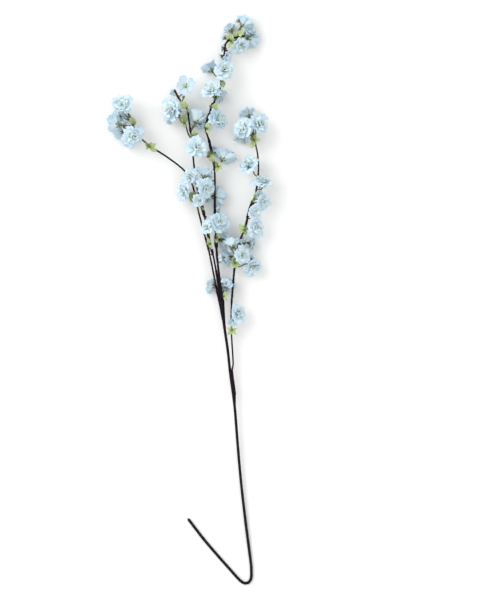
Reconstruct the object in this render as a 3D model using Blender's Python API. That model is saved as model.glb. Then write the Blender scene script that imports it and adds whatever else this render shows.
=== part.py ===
"""An artificial peach blossom spray, lying on a table.

Metres, +Z up.  The spray lies on Z = 0 with its tips towards +Y; the origin is under the middle
of its box.  The route points and blossom places below are in millimetres, measured from the
bend where the long stem is folded back, and the whole spray is centred at the end.
"""

from math import cos, radians, sin, tau

import bmesh
import bpy
from mathutils import Vector

# Driving dimensions, in metres unless a name says otherwise.
MM = 0.001
GAP = 0.3 * MM                  # left between pieces that touch
STEM_RADIUS = 2.8 * MM
BRANCH_RADIUS = 1.8 * MM
SIDE_BRANCH_RADIUS = 1.6 * MM
TWIG_RADIUS = 1.4 * MM
POINT_SPACING = 9 * MM          # along a wire's smooth centre line
SPLINE_STEPS = 24               # fine steps between two route points

PETALS = 5
RIM_POINTS = 3 * PETALS         # one notch and two shoulders for each petal
NOTCH = 0.74                    # rim radius at a notch, as a part of the petal's
CUP_DEPTH = 0.45                # height of the rim, as a part of the blossom's radius
NOTCH_DEPTH = 0.36
BOWL_RADIUS = 0.42
BOWL_DEPTH = 0.17
PETAL_THICKNESS = 1.2 * MM
CALYX_LENGTH = 6 * MM
CALYX_RADIUS = 2.3 * MM
PEDICEL_RADIUS = 0.8 * MM
PEDICEL_RINGS = 4
PEDICEL_LEAD = 12 * MM          # a pedicel leaves its wire this far below its blossom

LEAF_THICKNESS = 0.6 * MM
LEAF_WAIST = 0.36               # inner radius of a leaf star, as a part of its points'

# Wires: name, radius, and a hand-chosen route (x, y, z) in millimetres.
WIRES = {
    "main_stem": (STEM_RADIUS, [
        (-120, 131, 2.8), (-86, 87, 2.8), (-40, 34, 2.8), (-14, 6, 2.8), (-2, 2, 2.8),
        (6, 10, 2.8), (7, 29, 2.8), (5, 50, 3), (-5, 128, 5), (-14, 208, 8), (-21, 288, 11),
        (-26.6, 358, 14), (-34.6, 418, 16), (-40.6, 472, 18), (-48.2, 524, 20), (-53, 566, 22)]),
    "left_branch": (BRANCH_RADIUS, [
        (-56.9, 565.9, 22), (-63, 594, 22), (-69, 624, 22), (-79, 672, 23), (-91, 716, 24),
        (-102, 760, 25), (-111, 800, 25), (-126, 827, 24), (-158.6, 853.4, 22), (-192.6, 875.4, 21),
        (-214, 893, 22), (-227.5, 912, 24), (-234, 933, 26), (-240, 943, 27)]),
    "middle_branch": (BRANCH_RADIUS, [
        (-53.1, 566.4, 22), (-59, 600, 22.5), (-68, 652, 24), (-77, 688, 25), (-85, 730, 26),
        (-95, 768, 27), (-104, 810, 27), (-109, 852, 26), (-112, 890, 26), (-115, 908, 26),
        (-119, 938, 26), (-122, 952, 26), (-137, 971, 26), (-147, 991, 25)]),
    "middle_twig": (TWIG_RADIUS, [
        (-116.4, 895.2, 25.6), (-120, 904, 25), (-126, 924, 24), (-132, 933, 23.5)]),
    "leader_branch": (BRANCH_RADIUS, [
        (-49.2, 567, 22), (-55, 600, 23), (-61.4, 654, 25), (-64, 698, 26), (-66, 748, 27),
        (-66, 818, 28), (-68.6, 846, 28), (-77.4, 887, 28), (-84.6, 915, 28), (-75, 942, 28),
        (-64, 974, 28), (-54, 998, 28), (-54, 1022, 28), (-48, 1056, 27), (-44, 1082, 26),
        (-34, 1091, 26), (-11, 1097, 26)]),
    "right_branch": (SIDE_BRANCH_RADIUS, [
        (-24.4, 382, 15.2), (-27.6, 410, 16), (-30, 455, 18), (-33, 508, 20), (-33, 554, 22),
        (-30, 596, 24), (-26, 640, 25), (-20, 676, 26), (-5, 716, 26), (3.4, 752, 26),
        (15, 781, 26), (21, 824, 26), (19.6, 860, 26), (13, 890, 26), (9, 906, 25.5)]),
}

# Blossoms: wire, centre x and y, height of the centre (None rests on the table), azimuth and
# elevation of the way it faces in degrees, and radius.  Millimetres.
BLOSSOMS = {
    "left_blossom_1": ("left_branch", -251.5, 962, 45, 100, 52, 21),
    "left_blossom_2": ("left_branch", -263.5, 919, 36, 180, -45, 19.5),
    "left_blossom_3": ("left_branch", -258, 939, None, 110, -35, 15),
    "left_blossom_4": ("left_branch", -251, 902, None, 250, -45, 16),
    "left_blossom_5": ("left_branch", -227.5, 894, 44, -40, 62, 20),
    "left_blossom_6": ("left_branch", -131, 785, 40, 185, 48, 18),
    "middle_blossom_1": ("middle_branch", -124.5, 998, 42, 95, 70, 18.5),
    "middle_blossom_2": ("middle_twig", -155.5, 950, 33, 180, 42, 22),
    "middle_blossom_3": ("middle_branch", -101, 931, None, 60, -45, 22),
    "middle_blossom_4": ("middle_branch", -101, 875, 44, 20, 75, 19.5),
    "middle_blossom_5": ("middle_branch", -115, 817, 42, 120, 58, 17),
    "middle_blossom_6": ("middle_branch", -86.5, 823, 36, 72, -20, 18.5),
    "middle_blossom_7": ("middle_branch", -83, 792, 45, -20, 62, 18.5),
    "middle_blossom_8": ("middle_branch", -98, 767, 46, -80, 65, 13.5),
    "middle_blossom_9": ("middle_branch", -81.8, 714.6, 44, 150, 65, 14),
    "leader_blossom_1": ("leader_branch", -7.5, 1123.5, None, 50, -28, 18.5),
    "leader_blossom_2": ("leader_branch", 3.5, 1092.5, None, 0, -62, 18),
    "leader_blossom_3": ("leader_branch", -14, 1075, 36, -75, 42, 18.5),
    "leader_blossom_4": ("leader_branch", -35, 1113, None, 112, -28, 13),
    "leader_blossom_5": ("leader_branch", -77, 1033, None, 130, -25, 17.5),
    "leader_blossom_6": ("leader_branch", -47, 1029, 46, 20, 75, 19),
    "leader_blossom_7": ("leader_branch", -72.5, 990, 44, 100, 50, 18.5),
    "leader_blossom_8": ("leader_branch", -57, 978, None, -40, -40, 14),
    "leader_blossom_9": ("leader_branch", -59, 930, 36, 20, 42, 21.5),
    "leader_blossom_10": ("leader_branch", -47.5, 856, None, 60, -38, 22),
    "leader_blossom_11": ("leader_branch", -62, 777, None, -5, -42, 19),
    "leader_blossom_12": ("leader_branch", -55.7, 725, 42, 30, 60, 19),
    "leader_blossom_13": ("leader_branch", -52, 688, None, -30, -45, 13),
    "right_blossom_1": ("right_branch", -10.5, 912.5, 42, 170, 58, 19.5),
    "right_blossom_2": ("right_branch", 25, 922.5, 40, 15, 50, 20.5),
    "right_blossom_3": ("right_branch", 0, 943, None, 110, -20, 16),
    "right_blossom_4": ("right_branch", -14, 890, None, 260, 22, 14.5),
    "right_blossom_5": ("right_branch", 0, 841, 38, 130, 34, 22),
    "right_blossom_6": ("right_branch", 29, 807, 43.5, 90, 28, 19.5),
    "right_blossom_7": ("right_branch", 32.5, 766, 32, -10, 48, 15.5),
    "right_blossom_8": ("right_branch", 15, 745, 43, -20, 65, 14),
    "right_blossom_9": ("right_branch", 18.5, 713, 36, -20, 55, 17.5),
    "right_blossom_10": ("right_branch", 9, 682, None, -10, 10, 13.5),
    "right_blossom_11": ("right_branch", -32, 682, 40, 97, -22, 16.5),
    "right_blossom_12": ("right_branch", -10, 660, 42, 0, 62, 16.5),
    "right_blossom_13": ("right_branch", 10, 633, 26, -45, 42, 18.5),
    "right_blossom_14": ("right_branch", -41, 654, None, 197, -18, 16.5),
    "right_blossom_15": ("right_branch", -17, 542, 32, 12, 45, 18),
    "stem_blossom_1": ("leader_branch", -42, 602, None, 85, -38, 16.5),
    "stem_blossom_2": ("left_branch", -72.4, 598, None, 170, -35, 15),
}

# Leaf stars: wire, x and y of the place they sit at, azimuth of the first point in degrees,
# number of points and their reach.  Millimetres.
LEAVES = {
    "left_leaf": ("left_branch", -195, 878, 25, 3, 13),
    "middle_leaf": ("left_branch", -109, 776, 190, 3, 10),
    "twig_leaf": ("middle_twig", -128, 925, 180, 3, 8),
    "leader_leaf_1": ("leader_branch", -27, 1092, 20, 4, 16),
    "leader_leaf_2": ("leader_branch", -54, 1002, 90, 3, 13),
    "leader_leaf_3": ("leader_branch", -67, 834, 0, 4, 10),
    "right_leaf_1": ("right_branch", 15, 893, 60, 4, 12),
    "right_leaf_2": ("right_branch", -28, 642, 50, 5, 13),
    "right_leaf_3": ("right_branch", -33, 508, 45, 4, 13),
}

STEM_COLOUR = (0.017, 0.014, 0.019, 1.0)
LEAF_COLOUR = (0.43, 0.60, 0.17, 1.0)
PETAL_COLOUR = (0.52, 0.68, 0.78, 1.0)


def material(name, colour, roughness):
    made = bpy.data.materials.new(name)
    made.use_nodes = True
    shader = made.node_tree.nodes["Principled BSDF"]
    shader.inputs["Base Color"].default_value = colour
    shader.inputs["Roughness"].default_value = roughness
    shader.inputs["Metallic"].default_value = 0.0
    return made


def direction(azimuth, elevation):
    turn, rise = radians(azimuth), radians(elevation)
    return Vector((cos(turn) * cos(rise), sin(turn) * cos(rise), sin(rise)))


def smooth_line(route):
    """A Catmull-Rom curve through the route, as points about POINT_SPACING apart."""
    points = [Vector(p) * MM for p in route]
    ends = [2 * points[0] - points[1]] + points + [2 * points[-1] - points[-2]]
    fine = []
    for a, b, c, d in zip(ends, ends[1:], ends[2:], ends[3:]):
        for step in range(SPLINE_STEPS):
            t = step / SPLINE_STEPS
            bend = (2 * a - 5 * b + 4 * c - d) * t ** 2 + (3 * (b - c) + d - a) * t ** 3
            fine.append(0.5 * (2 * b + (c - a) * t + bend))
    fine.append(points[-1])
    length = sum((b - a).length for a, b in zip(fine, fine[1:]))
    count = round(length / POINT_SPACING)
    even, walked = [fine[0]], 0.0
    for a, b in zip(fine, fine[1:]):
        walked += (b - a).length
        if walked >= len(even) * length / count and len(even) < count:
            even.append(b)
    return even + [fine[-1]]


def link(obj, finish, collection, parent):
    obj.data.materials.append(finish)
    collection.objects.link(obj)
    obj.parent = parent
    return obj


def wire_object(name, radius, line):
    curve = bpy.data.curves.new(name, "CURVE")
    curve.dimensions = "3D"
    spline = curve.splines.new("POLY")
    spline.points.add(len(line) - 1)
    for point, place in zip(spline.points, line):
        point.co = (*place, 1.0)
    spline.use_smooth = True
    curve.bevel_depth = radius
    curve.bevel_resolution = 2
    curve.use_fill_caps = True
    return bpy.data.objects.new(name, curve)


def seat_on_wire(line, target, lead):
    """The point of a wire nearest the target, a little way back, and the wire's way there."""
    nearest = min(range(len(line)), key=lambda i: (line[i] - target).length)
    back = round(lead / POINT_SPACING)
    index = min(max(nearest - back, 1), len(line) - 2)
    return line[index], (line[index + 1] - line[index - 1]).normalized()


def circle(centre, across, up, radius, count):
    return [centre + radius * (cos(tau * i / count) * across + sin(tau * i / count) * up)
            for i in range(count)]


def cup_rings(axis, across, up, radius):
    """The rim and the bowl of a blossom whose calyx ends at the origin, and its throat."""
    rim, bowl = [], []
    for i in range(RIM_POINTS):
        notch = i % 3 == 0
        turn = tau * i / RIM_POINTS
        out = cos(turn) * across + sin(turn) * up
        reach = radius * (NOTCH if notch else 1.0)
        rise = radius * (NOTCH_DEPTH if notch else CUP_DEPTH)
        rim.append(reach * out + rise * axis)
        bowl.append(radius * BOWL_RADIUS * out + (radius * BOWL_DEPTH + PETAL_THICKNESS) * axis)
    return rim, bowl, PETAL_THICKNESS * axis


def bezier(a, b, c, d, t):
    s = 1.0 - t
    return s ** 3 * a + 3 * s ** 2 * t * b + 3 * s * t ** 2 * c + t ** 3 * d


def pedicel_rings(root, outward, calyx, axis, across, up):
    """Rings from the wire to the calyx, turned along the way so that they don't twist."""
    reach = 0.42 * (calyx - root).length
    bends = (root, root + reach * outward, calyx - reach * axis, calyx)
    places = [bezier(*bends, i / (PEDICEL_RINGS - 1)) for i in range(PEDICEL_RINGS)]
    ways = [outward]
    for before, after in zip(places, places[2:]):
        ways.append((after - before).normalized())
    ways.append(axis)
    rings = []
    for index in reversed(range(PEDICEL_RINGS)):
        turn = axis.rotation_difference(ways[index])
        rings.insert(0, circle(places[index], turn @ across, turn @ up, PEDICEL_RADIUS, PETALS))
    return rings


def join_rings(bm, lower, upper):
    """Skin between two rings; the upper one may have a whole multiple of the lower's points."""
    share = len(upper) // len(lower)
    for i, corner in enumerate(lower):
        nearby = lower[(i + 1) % len(lower)]
        tops = [upper[(i * share + k) % len(upper)] for k in range(share + 1)]
        if share == 1:
            bm.faces.new((corner, nearby, tops[1], tops[0]))
            continue
        middle = (share + 1) // 2
        for k in range(share):
            bm.faces.new((corner if k < middle else nearby, tops[k + 1], tops[k]))
        bm.faces.new((corner, nearby, tops[middle]))


def blossom_object(name, line, wire_radius, x, y, height, azimuth, elevation, radius):
    """Pedicel, calyx and five-petalled cup of one blossom, as one closed solid."""
    axis = direction(azimuth, elevation)
    across = axis.cross(Vector((0.0, 0.0, 1.0))).normalized()
    up = across.cross(axis)
    radius = radius * MM
    rim, bowl, throat = cup_rings(axis, across, up, radius)
    centre = Vector((x * MM, y * MM, 0.0))
    cup = centre - radius * CUP_DEPTH * axis
    if height is None:
        cup.z = -min(point.z for point in rim)
    else:
        cup.z += height * MM
    calyx = cup - CALYX_LENGTH * axis
    wire_point, wire_way = seat_on_wire(line, calyx, PEDICEL_LEAD)
    outward = calyx - wire_point
    outward = (outward - outward.dot(wire_way) * wire_way).normalized()
    root = wire_point + (wire_radius + GAP) * outward
    rings = pedicel_rings(root, outward, calyx, axis, across, up)
    rings.append(circle(calyx + 0.45 * CALYX_LENGTH * axis, across, up, CALYX_RADIUS, PETALS))
    rings.append(circle(cup, across, up, CALYX_RADIUS, PETALS))
    rings.append([cup + point for point in rim])
    rings.append([cup + point for point in bowl])

    bm = bmesh.new()
    loops = [[bm.verts.new(point) for point in ring] for ring in rings]
    for lower, upper in zip(loops, loops[1:]):
        join_rings(bm, lower, upper)
    bm.faces.new(reversed(loops[0]))
    middle = bm.verts.new(cup + throat)
    for a, b in zip(loops[-1], loops[-1][1:] + loops[-1][:1]):
        bm.faces.new((a, b, middle))
    bmesh.ops.recalc_face_normals(bm, faces=bm.faces)
    mesh = bpy.data.meshes.new(name)
    bm.to_mesh(mesh)
    bm.free()
    mesh.shade_smooth()
    mesh.set_sharp_from_angle(angle=radians(40))
    return bpy.data.objects.new(name, mesh)


def leaf_object(name, line, wire_radius, x, y, azimuth, points, reach):
    """A flat star of pointed leaves lying over its wire."""
    place = min(line, key=lambda p: (p.xy - Vector((x, y)) * MM).length)
    curve = bpy.data.curves.new(name, "CURVE")
    curve.dimensions = "2D"
    curve.fill_mode = "BOTH"
    curve.extrude = LEAF_THICKNESS / 2
    spline = curve.splines.new("POLY")
    spline.points.add(2 * points - 1)
    spline.use_cyclic_u = True
    for i, point in enumerate(spline.points):
        turn = radians(azimuth) + tau * i / (2 * points)
        out = reach * MM * (LEAF_WAIST if i % 2 else 1.0)
        point.co = (out * cos(turn), out * sin(turn), 0.0, 1.0)
    made = bpy.data.objects.new(name, curve)
    made.location = place + Vector((0.0, 0.0, wire_radius + 2 * GAP + LEAF_THICKNESS / 2))
    return made


def centre_on_origin(holder, objects):
    """Move the whole spray so that the origin lies under the middle of its box."""
    bpy.context.view_layer.update()
    graph = bpy.context.evaluated_depsgraph_get()
    corners = []
    for obj in objects:
        seen = obj.evaluated_get(graph)
        mesh = seen.to_mesh()
        corners.extend(obj.matrix_world @ vertex.co for vertex in mesh.vertices)
        seen.to_mesh_clear()
    middle_x = (min(p.x for p in corners) + max(p.x for p in corners)) / 2
    middle_y = (min(p.y for p in corners) + max(p.y for p in corners)) / 2
    holder.location = (-middle_x, -middle_y, -min(p.z for p in corners))


def main():
    for obj in list(bpy.data.objects):
        bpy.data.objects.remove(obj)
    collection = bpy.data.collections.new("peach_blossom_spray")
    bpy.context.scene.collection.children.link(collection)
    holder = bpy.data.objects.new("spray", None)
    collection.objects.link(holder)

    stem_finish = material("coated_wire", STEM_COLOUR, 0.55)
    leaf_finish = material("leaf_fabric", LEAF_COLOUR, 0.75)
    petal_finish = material("petal_fabric", PETAL_COLOUR, 0.8)

    lines = {name: smooth_line(route) for name, (_, route) in WIRES.items()}
    made = []
    for name, (radius, _) in WIRES.items():
        made.append(link(wire_object(name, radius, lines[name]), stem_finish, collection, holder))
    for name, (wire, *place) in BLOSSOMS.items():
        blossom = blossom_object(name, lines[wire], WIRES[wire][0], *place)
        made.append(link(blossom, petal_finish, collection, holder))
    for name, (wire, *place) in LEAVES.items():
        leaf = leaf_object(name, lines[wire], WIRES[wire][0], *place)
        made.append(link(leaf, leaf_finish, collection, holder))
    centre_on_origin(holder, made)


main()
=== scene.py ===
"""The looks of an artificial peach blossom spray: ruffled fabric blossoms on coated wire.

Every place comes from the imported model.  A wire's centre line and each blossom's axis, radius
and pedicel are read from the CAD node's own mesh, and the fine pieces are built around them.
What has no CAD node, such as a bud or a loose leaf, is placed by its share of the way along a
wire.  Metres, +Z up; the spray lies on Z = 0 and the camera looks straight down on it.
"""

import random
from collections import namedtuple
from math import cos, exp, log, pi, radians, sin, tau

import bmesh
import bpy
from mathutils import Matrix, Vector, noise


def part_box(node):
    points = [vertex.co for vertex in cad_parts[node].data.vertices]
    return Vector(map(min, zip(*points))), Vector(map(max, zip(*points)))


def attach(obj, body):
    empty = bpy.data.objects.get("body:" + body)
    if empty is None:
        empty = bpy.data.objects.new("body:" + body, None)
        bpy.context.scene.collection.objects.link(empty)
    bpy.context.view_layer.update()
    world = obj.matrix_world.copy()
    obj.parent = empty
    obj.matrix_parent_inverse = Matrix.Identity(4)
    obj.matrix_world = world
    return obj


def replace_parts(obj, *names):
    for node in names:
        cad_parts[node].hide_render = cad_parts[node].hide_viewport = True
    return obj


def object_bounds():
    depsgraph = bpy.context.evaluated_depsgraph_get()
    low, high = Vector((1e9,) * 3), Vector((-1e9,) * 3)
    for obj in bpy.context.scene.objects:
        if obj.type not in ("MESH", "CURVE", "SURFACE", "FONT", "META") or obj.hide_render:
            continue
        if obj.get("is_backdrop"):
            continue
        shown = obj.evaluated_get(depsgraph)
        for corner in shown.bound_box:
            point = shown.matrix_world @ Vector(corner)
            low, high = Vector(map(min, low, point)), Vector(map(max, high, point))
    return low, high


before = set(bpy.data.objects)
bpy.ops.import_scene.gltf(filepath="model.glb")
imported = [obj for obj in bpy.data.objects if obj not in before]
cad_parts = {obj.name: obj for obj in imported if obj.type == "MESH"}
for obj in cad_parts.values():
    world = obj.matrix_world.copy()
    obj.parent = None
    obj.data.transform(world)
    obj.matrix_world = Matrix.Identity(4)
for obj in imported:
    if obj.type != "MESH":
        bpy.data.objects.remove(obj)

MM = 0.001
BODY = "root"
UP = Vector((0.0, 0.0, 1.0))

# Camera and stage
LENS = 300
SENSOR = 36
VIEW_HEIGHT = 1.2               # metres of the table that the picture's height shows
FOCUS_HEIGHT = 0.025
CAMERA_RIGHT = 0.0995           # of the middle of the spray
CAMERA_UP = 0.0016
FLOOR_SIZE = 14
SKY_STRENGTH = 1.06
SUN_STRENGTH = 1.5
SUN_ANGLE = 46
SUN_FROM = (-1.0, 0.55, 1.0)

# Blossoms
FULLNESS = 1.20                 # real petals reach this far past the plain CAD cup
PETAL_THICKNESS = 0.35 * MM
PETAL_START = 1.2 * MM          # petals begin this far from the axis
LAYER_TIP = 20                  # degrees that the inner layers may be out of true
LAYER_SLIP = 0.10               # of the radius, that they may be off the axis
CLEARANCE = 0.3 * MM            # lowest that a petal's middle comes to the table
SOFTNESS = 1.2 * MM             # how gently a petal flattens on the table

# A petal draws each of these between two numbers.  The first three and FRAY are shares of the
# petal's own measures, and the folds and cups are shares of the blossom's radius.
REACH_RANGE = (0.80, 1.10)
ANGLE_RANGE = (0.92, 1.10)
FLUTE_RANGE = (0.45, 1.1)
FOLD_RANGE = (0.03, 0.11)
CUP_RANGE = (0.02, 0.14)
FAN_CUP_RANGE = (0.10, 0.22)    # of a blossom that faces the table
FRAY = 0.016
PETAL_LIFT = 0.16               # of the radius, that a petal's tip may lie too high
PETAL_DROOP = 0.14              # and too low
OUTER_DROOP = 0.40              # and too low, on the outside of a double blossom
PETAL_TURN = 0.18               # radians that a petal may be turned out of its place
CORNER_PULL = 0.28              # of a petal's length, that its corners are rounded off by
NOTCH_PULL = 0.06               # depth of the notch at its tip
LOBE_PULL = 0.11                # depth of the bays between its lobes

Layer = namedtuple("Layer", (
    "piece", "petals", "reach", "height",       # tip's place, as shares of the radius
    "shoulder", "rise",                         # the bend's place, as shares of the radius
    "half_angle", "lobes", "flute", "rows", "columns", "turn"))
DOUBLE = (
    Layer("outer", 5, 1.00, 0.36, 0.50, 0.38, 40, 5.3, 0.075, 9, 23, 0),
    Layer("outer", 5, 0.88, 0.45, 0.36, 0.47, 41, 4.9, 0.080, 9, 21, 36),
    Layer("inner", 5, 0.66, 0.53, 0.22, 0.55, 43, 4.5, 0.080, 8, 17, 14),
    Layer("inner", 4, 0.44, 0.60, 0.12, 0.62, 50, 4.1, 0.075, 7, 15, 50),
    Layer("inner", 4, 0.24, 0.66, 0.07, 0.66, 52, 3.4, 0.060, 7, 11, 20))
FAN = (
    Layer("outer", 5, 0.98, 0.55, 0.50, 0.34, 38, 5.2, 0.090, 9, 21, 0),
    Layer("outer", 5, 0.84, 0.68, 0.38, 0.46, 38, 4.8, 0.090, 9, 19, 36),
    Layer("inner", 5, 0.58, 0.74, 0.26, 0.56, 42, 4.2, 0.080, 8, 15, 14),
    Layer("inner", 4, 0.26, 0.70, 0.30, 0.56, 50, 3.6, 0.070, 6, 11, 50))
SINGLE = (
    Layer("outer", 5, 1.10, 0.34, 0.52, 0.38, 32, 1.7, 0.035, 10, 15, 0),)
SMALL = (
    Layer("outer", 5, 1.00, 0.52, 0.36, 0.55, 40, 4.4, 0.090, 7, 15, 0),
    Layer("outer", 4, 0.60, 0.66, 0.18, 0.66, 50, 3.4, 0.090, 6, 11, 30))
SINGLE_BLOSSOMS = ("middle_blossom_1",)

CALYX_RADIUS = 2.9 * MM
PEDICEL_RADIUS = 1.2 * MM
PEDICEL_STEP = 1.5 * MM
SEPAL_LENGTH = 4.2 * MM
SEPAL_HALF_WIDTH = 1.7 * MM
SEPAL_THICKNESS = 0.35 * MM
SEPAL_ROWS = 7
STAMENS = 9
SINGLE_STAMENS = 18
ANTHER_RADIUS = 0.5 * MM

# The outline of a calyx and of a bud: share of the way along it, and share of its radius.
CALYX_BELL = ((0.25, 0.50), (0.45, 0.72), (0.7, 0.95), (0.95, 1.0), (1.12, 0.75), (1.22, 0.25))
BUD_BELL = ((0.15, 0.6), (0.35, 0.9), (0.6, 1.0), (0.8, 0.8), (0.95, 0.45), (1.0, 0.15))

# Leaves
LEAF_THICKNESS = 0.3 * MM
LEAF_STEPS = 12                 # along a leaf, with a tooth at every other one
STALK_RADIUS = 1.1 * MM
KNUCKLE_RADIUS = 1.7 * MM

# Wires
CAP_REACH = 7 * MM              # more than a wire is thick, and much less than it is long
WIRE_STEP = 1.6 * MM
WIRE_SIDES = 14
LAP_PITCH = 9 * MM              # of the spiral wrap
KNOT_REACH = 3.5 * MM           # swelling where a pedicel leaves the wire
BOUND_LENGTH = 62 * MM          # of the right branch's foot that is drawn towards the stem
BOUND_EASE = 16 * MM            # the upper part of that, where it leans away again
TAPE_RADIUS = 2.0 * MM
CORE_RADIUS = 1.5 * MM          # of the steel wire in the stem
CORE_LENGTH = 2.0 * MM          # that stands out of the cut end


# ---------------------------------------------------------------- reading the CAD nodes

def welded(node):
    """A bmesh of a CAD node with the vertices that its normals split merged again."""
    bm = bmesh.new()
    bm.from_mesh(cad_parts[node].data)
    bmesh.ops.remove_doubles(bm, verts=bm.verts, dist=1e-6)
    return bm


def average(points):
    return sum(points, Vector()) / len(points)


def rings_from(first):
    """Rings of vertices, each one the neighbours of the ring before it, from the first ring."""
    rings, seen = [list(first)], set(first)
    while rings[-1]:
        near = {e.other_vert(v) for v in rings[-1] for e in v.link_edges} - seen
        seen |= near
        rings.append(sorted(near, key=lambda v: v.index))
    return rings[:-1]


def wire_rings(node):
    """The centres of a tube's rings, from the end with the lowest Y, and the tube's radius."""
    bm = welded(node)
    rims = {v for e in bm.edges if e.calc_face_angle() > radians(60) for v in e.verts}
    lowest = min(rims, key=lambda v: v.co.y)
    cap = [v for v in rims if (v.co - lowest.co).length < CAP_REACH]
    rings = rings_from(sorted(cap, key=lambda v: v.index))
    middle = [v.co for v in rings[len(rings) // 2]]
    radius = max((place - average(middle)).length for place in middle)
    centres = [average([v.co for v in ring]) for ring in rings]
    bm.free()
    return centres, radius


def blossom_frame(node):
    """Axis, radius, petal direction, cup base and pedicel line of a CAD blossom.

    The throat is the vertex where most edges meet, and each step away from it along the edges
    reaches the next ring: bowl, rim, calyx, and the pedicel down to its wire.
    """
    bm = welded(node)
    throat = max(bm.verts, key=lambda v: len(v.link_edges))
    rings = rings_from([throat])
    places = [[v.co.copy() for v in ring] for ring in rings]
    bm.free()
    axis = (average(places[1]) - places[0][0]).normalized()
    base = average(places[3])
    spokes = [p - base - (p - base).dot(axis) * axis for p in places[2]]
    return {
        "name": node,
        "axis": axis,
        "base": base,
        "radius": max(s.length for s in spokes) * FULLNESS,
        "notch": min(spokes, key=lambda s: s.length).normalized(),
        "pedicel": [average(ring) for ring in reversed(places[5:])],
        "layers": SINGLE if node in SINGLE_BLOSSOMS else DOUBLE if axis.z > 0 else FAN,
        # Painted shade: blossoms that face the table, and the single blossom, draw low tones, which
        # paint their petals greyer as if shaded.
        "tones": (0.0, 0.3) if node in SINGLE_BLOSSOMS or axis.z < 0 else (0.35, 1.0),
    }


def node_middle(node):
    low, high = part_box(node)
    return (Vector(low) + Vector(high)) / 2


# ---------------------------------------------------------------- mesh building

class Builder:
    """Collects grids of points into one mesh whose vertices carry along, across and tone."""

    def __init__(self):
        self.points = []
        self.faces = []
        self.along = []
        self.across = []
        self.tone = []

    def grid(self, rows, tone=0.5, closed=False, span=1.0):
        """Adds a grid; tone is one number, or one for each row, and along runs from 0 to span."""
        start, width = len(self.points), len(rows[0])
        tones = tone if isinstance(tone, list) else [tone] * len(rows)
        for i, row in enumerate(rows):
            self.points.extend(row)
            self.along.extend([span * i / (len(rows) - 1)] * width)
            self.across.extend(2 * j / max(width - 1, 1) - 1 for j in range(width))
            self.tone.extend([tones[i]] * width)
        for i in range(len(rows) - 1):
            for j in range(width if closed else width - 1):
                k = (j + 1) % width
                low, high = start + i * width, start + (i + 1) * width
                self.faces.append((low + j, low + k, high + k, high + j))
        return start

    def capped(self, rings, tone):
        """A closed grid with a face over each end."""
        start, sides = self.grid(rings, tone, closed=True), len(rings[0])
        self.faces.append(tuple(start + j for j in reversed(range(sides))))
        last = start + (len(rings) - 1) * sides
        self.faces.append(tuple(last + j for j in range(sides)))

    def plate(self, rows, thickness, tone=0.5):
        """A closed sheet with the given rows on top, and the vector thickness below them."""
        rings = [list(reversed(row)) + [place - thickness for place in row] for row in rows]
        self.capped(rings, tone)

    def tube(self, centres, radii, sides, tone=0.5, bulge=None):
        """A closed tube; bulge(i, angle) scales the radius of ring i."""
        rows = []
        way = (centres[1] - centres[0]).normalized()
        side = way.orthogonal().normalized()
        for i, centre in enumerate(centres):
            ahead = (centres[min(i + 1, len(centres) - 1)] - centres[max(i - 1, 0)]).normalized()
            side = (way.rotation_difference(ahead) @ side).normalized()
            way = ahead
            other = way.cross(side)
            row = []
            for j in range(sides):
                angle = tau * j / sides
                reach = radii[i] * (bulge(i, angle) if bulge else 1.0)
                row.append(centre + reach * (cos(angle) * side + sin(angle) * other))
            rows.append(row)
        self.capped(rows, tone)

    def ball(self, centre, radius, way, tone=0.5, stretch=1.3, sides=6, rings=5):
        """A bead, stretched along way."""
        steps = [pi * k / (rings - 1) for k in range(rings)]
        centres = [centre - way * radius * stretch * cos(step) for step in steps]
        radii = [max(radius * sin(step), radius * 0.05) for step in steps]
        self.tube(centres, radii, sides, tone)

    def build(self, name, material, thickness=0.0):
        """Makes the object; open sheets need a thickness, which closes them."""
        mesh = bpy.data.meshes.new(name)
        mesh.from_pydata([tuple(p) for p in self.points], [], self.faces)
        for key in ("along", "across", "tone"):
            attribute = mesh.attributes.new(key, "FLOAT", "POINT")
            attribute.data.foreach_set("value", getattr(self, key))
        mesh.shade_smooth()
        mesh.materials.append(material)
        made = bpy.data.objects.new(name, mesh)
        bpy.context.scene.collection.objects.link(made)
        if thickness:
            solid = made.modifiers.new("thickness", "SOLIDIFY")
            solid.thickness = thickness
            solid.offset = 0.0
        return made


def catmull(points, step):
    """Points about a step apart on a smooth curve through the given points."""
    ends = [2 * points[0] - points[1]] + points + [2 * points[-1] - points[-2]]
    line = []
    for a, b, c, d in zip(ends, ends[1:], ends[2:], ends[3:]):
        count = max(1, round((c - b).length / step))
        for k in range(count):
            t = k / count
            bend = (2 * a - 5 * b + 4 * c - d) * t ** 2 + (3 * (b - c) + d - a) * t ** 3
            line.append(0.5 * (2 * b + (c - a) * t + bend))
    return line + [points[-1]]


def direction(azimuth, elevation):
    turn, rise = radians(azimuth), radians(elevation)
    return Vector((cos(turn) * cos(rise), sin(turn) * cos(rise), sin(rise)))


def settled(place):
    """The place, raised so that nothing reaches below the table."""
    over = (place.z - CLEARANCE) / SOFTNESS
    if over < 9:                # higher up it would change next to nothing
        place.z = CLEARANCE + SOFTNESS * log(1 + exp(over))
    return place


# ---------------------------------------------------------------- materials

def shader(name, roughness):
    material = bpy.data.materials.new(name)
    material.use_nodes = True
    tree = material.node_tree
    principled = tree.nodes["Principled BSDF"]
    principled.inputs["Roughness"].default_value = roughness
    return material, tree, principled


def node(tree, kind, **settings):
    made = tree.nodes.new(kind)
    for key, value in settings.items():
        setattr(made, key, value)
    return made


def attribute(tree, name):
    return node(tree, "ShaderNodeAttribute", attribute_name=name).outputs["Fac"]


def maths(tree, operation, a, b=None):
    made = node(tree, "ShaderNodeMath", operation=operation)
    for socket, value in zip(made.inputs, (a, b)):
        if isinstance(value, (int, float)):
            socket.default_value = value
        elif value is not None:
            tree.links.new(value, socket)
    return made.outputs[0]


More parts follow.
